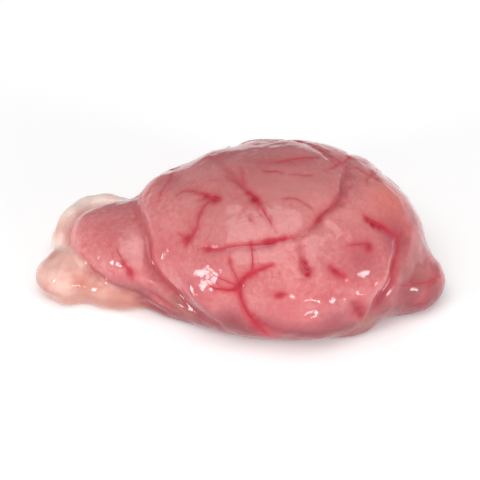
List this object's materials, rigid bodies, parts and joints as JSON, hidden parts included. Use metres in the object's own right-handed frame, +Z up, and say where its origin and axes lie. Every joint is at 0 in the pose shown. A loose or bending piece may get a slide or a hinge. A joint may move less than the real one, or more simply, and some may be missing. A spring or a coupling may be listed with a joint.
{
  "type": "raw pork brain half",
  "caption": "Half of a raw pork brain lying on its flat inner side: smooth pink folded lobes with shallow furrows, over a pale rounded stem and strand at one end.",
  "frame": {"origin": "on the table, in the flat underside, under the middle of the brain", "axes": "+X along the brain from the pale stem to the small end lobe, +Z up from the table, -Y towards the viewer of the picture"},
  "size_m": [0.0879, 0.0537, 0.029],
  "materials": {
    "tissue": "wet, glossy, slightly see-through raw tissue, pink with red vessels, pale at the stem"
  },
  "bodies": {
    "root": {"brain": "tissue"}
  },
  "joints": []
}
